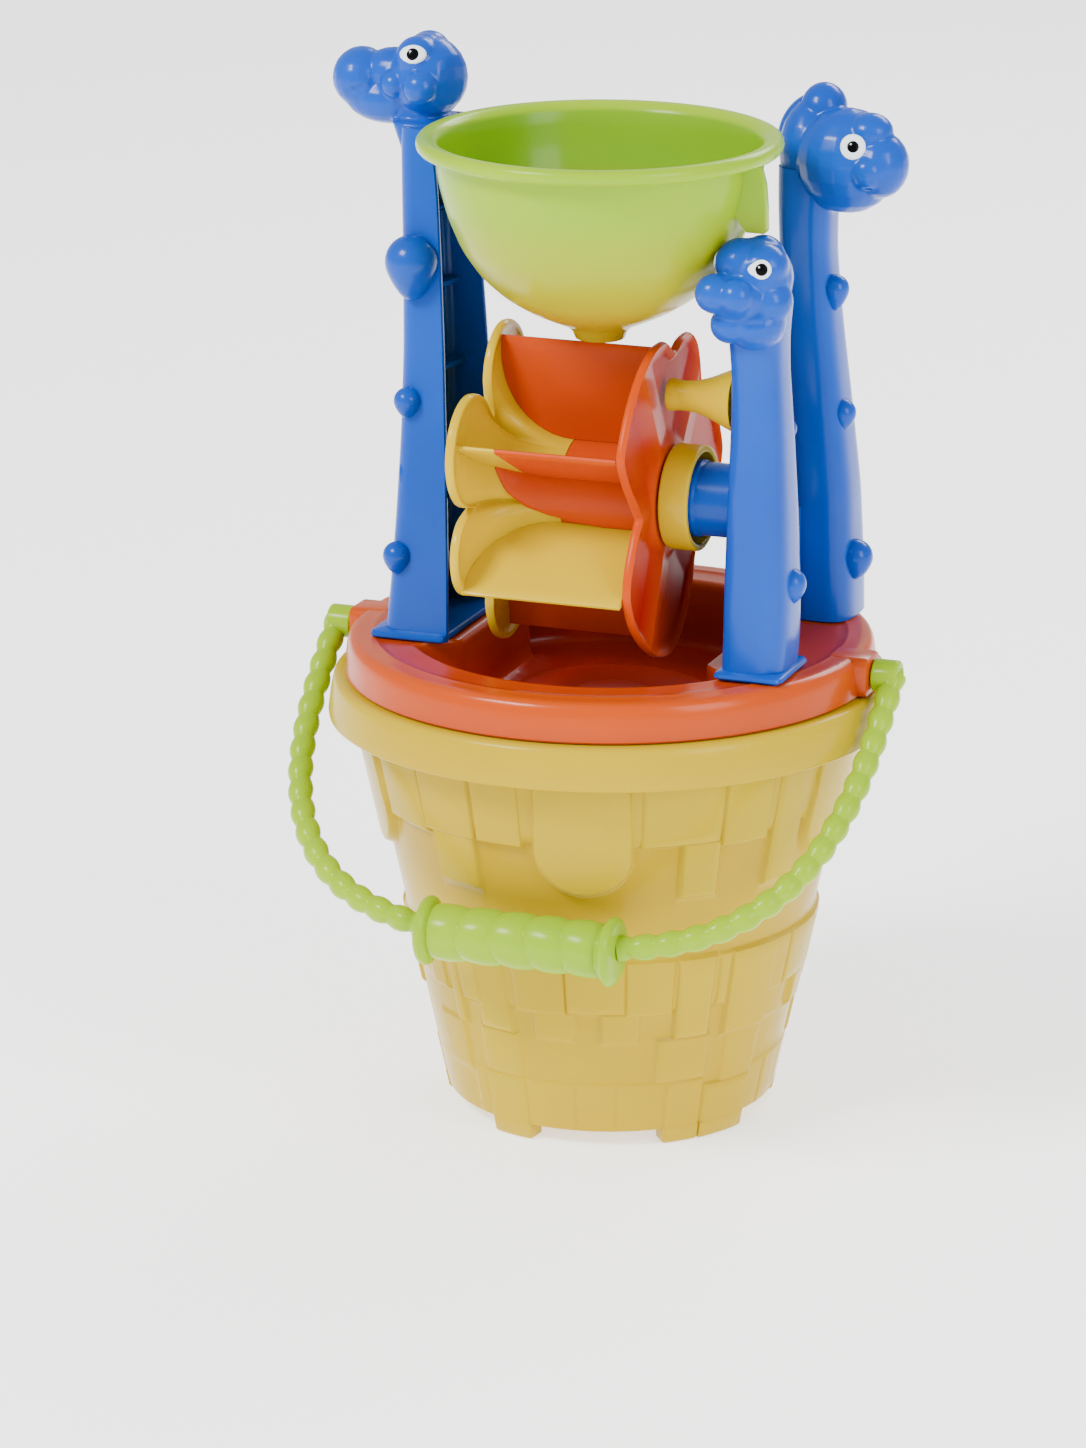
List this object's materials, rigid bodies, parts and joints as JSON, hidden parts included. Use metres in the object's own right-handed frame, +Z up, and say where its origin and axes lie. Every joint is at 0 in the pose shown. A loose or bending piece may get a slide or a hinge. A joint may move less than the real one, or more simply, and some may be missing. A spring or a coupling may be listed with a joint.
{
  "type": "sand wheel toy",
  "caption": "Castle bucket with a catch tray, animal-necked supports carrying a paddle wheel under a lift-out funnel, and a swinging bail handle.",
  "frame": {"origin": "on the ground at the centre of the bucket's foot circle", "axes": "+Z up, X along the wheel's axle with the left support at -X, -Y towards the front where the bail hangs"},
  "size_m": [0.2184, 0.2039, 0.3817],
  "materials": {
    "bucket_yellow": "moulded polypropylene, yellow, satin gloss",
    "tray_orange": "moulded polypropylene, orange, satin gloss",
    "support_blue": "moulded polypropylene, blue, gloss",
    "wheel_yellow": "moulded polypropylene, bright yellow, satin gloss",
    "eye_white": "white plastic disc, gloss",
    "eye_black": "black plastic dot, gloss",
    "wheel_orange": "moulded polypropylene, orange, satin gloss",
    "axle_white": "natural white nylon rod",
    "lime": "moulded polypropylene, lime green, satin gloss"
  },
  "bodies": {
    "bucket": {"bucket": "bucket_yellow"},
    "tray_tower": {"tray": "tray_orange", "left_support": "support_blue", "right_front_support": "support_blue", "right_rear_support": "support_blue", "guide_post": "wheel_yellow", "eye_whites": "eye_white", "eye_pupils": "eye_black"},
    "wheel": {"wheel_left_disc": "wheel_yellow", "wheel_right_disc": "wheel_orange", "retaining_cup": "wheel_yellow", "wheel_axle": "axle_white", "paddle_1": "wheel_orange", "paddle_2": "wheel_orange", "paddle_3": "wheel_yellow", "paddle_4": "wheel_orange", "paddle_5": "wheel_orange", "paddle_6": "wheel_yellow"},
    "funnel": {"funnel": "lime"},
    "handle": {"handle_arm_left": "lime", "handle_arm_right": "lime", "handle_grip": "lime"}
  },
  "joints": [
    {"name": "tray_lift", "type": "slide", "parent": "bucket", "child": "tray_tower", "axis": [0, 0, 1], "range_m": [0, 0.0125]},
    {"name": "wheel_spin", "type": "hinge", "parent": "tray_tower", "child": "wheel", "pos_m": [0, -0.022, 0.2303], "axis": [1, 0, 0], "continuous": true},
    {"name": "funnel_lift", "type": "slide", "parent": "tray_tower", "child": "funnel", "axis": [0, 0, 1], "range_m": [0, 0.09]},
    {"name": "handle_swing", "type": "hinge", "parent": "tray_tower", "child": "handle", "pos_m": [0, 0, 0.1663], "axis": [-1, 0, 0], "range_deg": [0, 80]}
  ]
}
